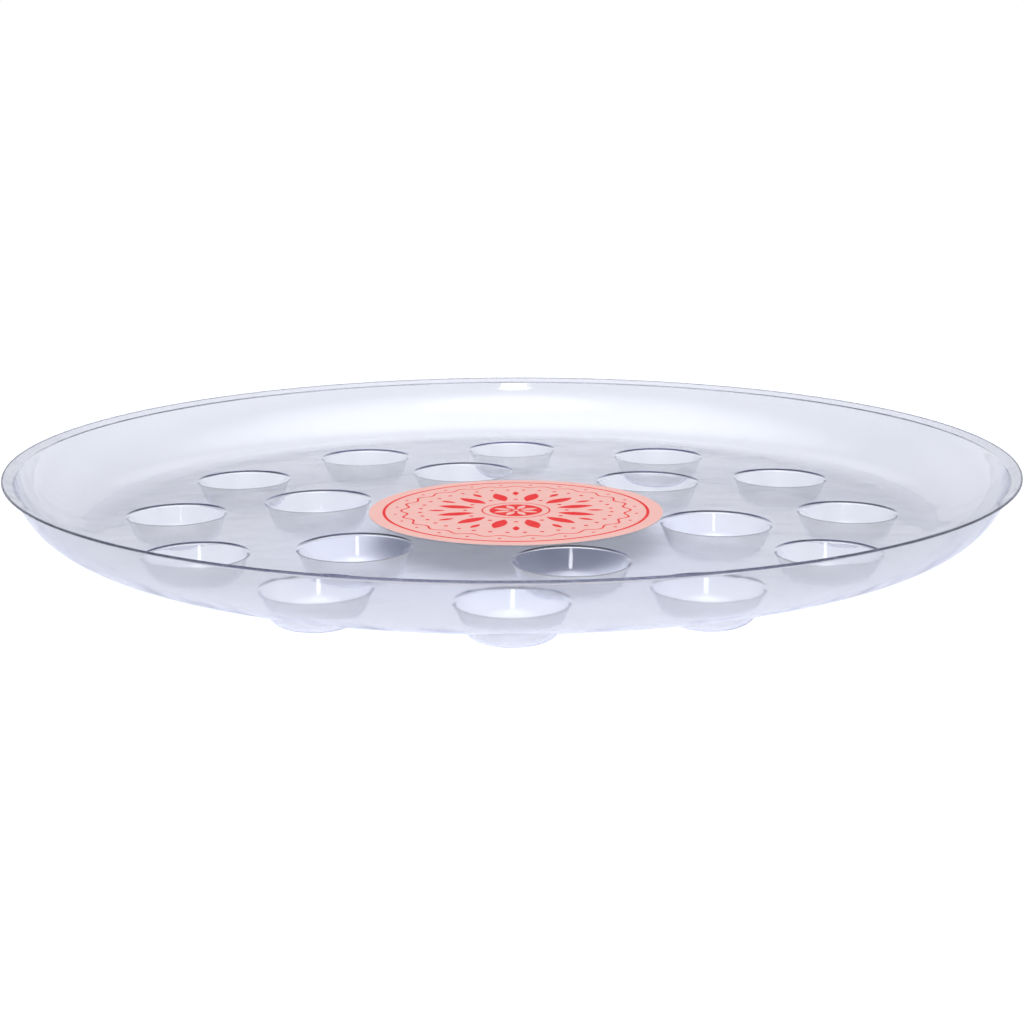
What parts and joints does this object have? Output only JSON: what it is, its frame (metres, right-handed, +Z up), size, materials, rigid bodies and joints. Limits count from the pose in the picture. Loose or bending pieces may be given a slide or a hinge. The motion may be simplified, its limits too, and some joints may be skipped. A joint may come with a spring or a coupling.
{
  "type": "plant saucer",
  "caption": "Round clear plastic plant saucer with a curved wall, a flared lip and hollow round feet that hold its floor off the ground, with a round label stuck to the floor.",
  "frame": {"origin": "on the ground under the saucer's axis, midway between the sides of its lip", "axes": "+Z up along the saucer's axis; +X towards the first foot of the outer ring, the side to which the label is off centre, and to the right in the picture; +Y away from the camera"},
  "size_m": [0.3556, 0.3556, 0.033],
  "materials": {
    "clear_sheet": "gloss",
    "label_paper": "satin",
    "label_adhesive": "satin"
  },
  "bodies": {
    "root": {"saucer_shell": "clear_sheet", "label_disc": "label_paper", "label_adhesive": "label_adhesive"}
  },
  "joints": []
}
